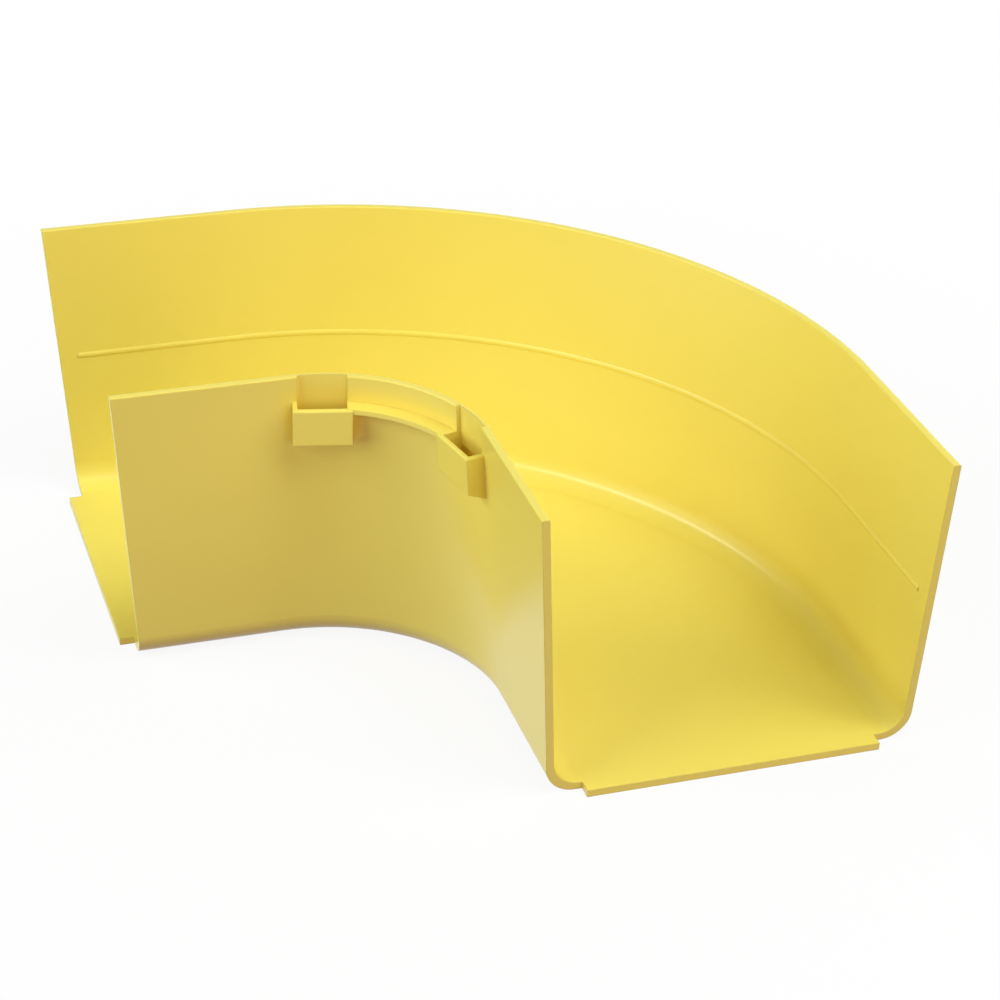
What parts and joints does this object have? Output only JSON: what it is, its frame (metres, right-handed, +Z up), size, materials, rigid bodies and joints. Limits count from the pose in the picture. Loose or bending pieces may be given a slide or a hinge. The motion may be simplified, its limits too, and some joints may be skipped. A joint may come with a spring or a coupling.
{
  "type": "fibre raceway fitting",
  "caption": "One-piece moulded horizontal elbow for an open U-shaped fibre raceway, with leaning walls, floor tongues at its ends and clip pockets on the inner wall.",
  "frame": {"origin": "middle of the footprint, on the underside", "axes": "+Z up out of the open trough; one leg opens towards -X and the other towards -Y"},
  "size_m": [0.2382, 0.2382, 0.1025],
  "materials": {
    "yellow_plastic": "smooth satin moulding"
  },
  "bodies": {
    "root": {"elbow_trough": "yellow_plastic"}
  },
  "joints": []
}
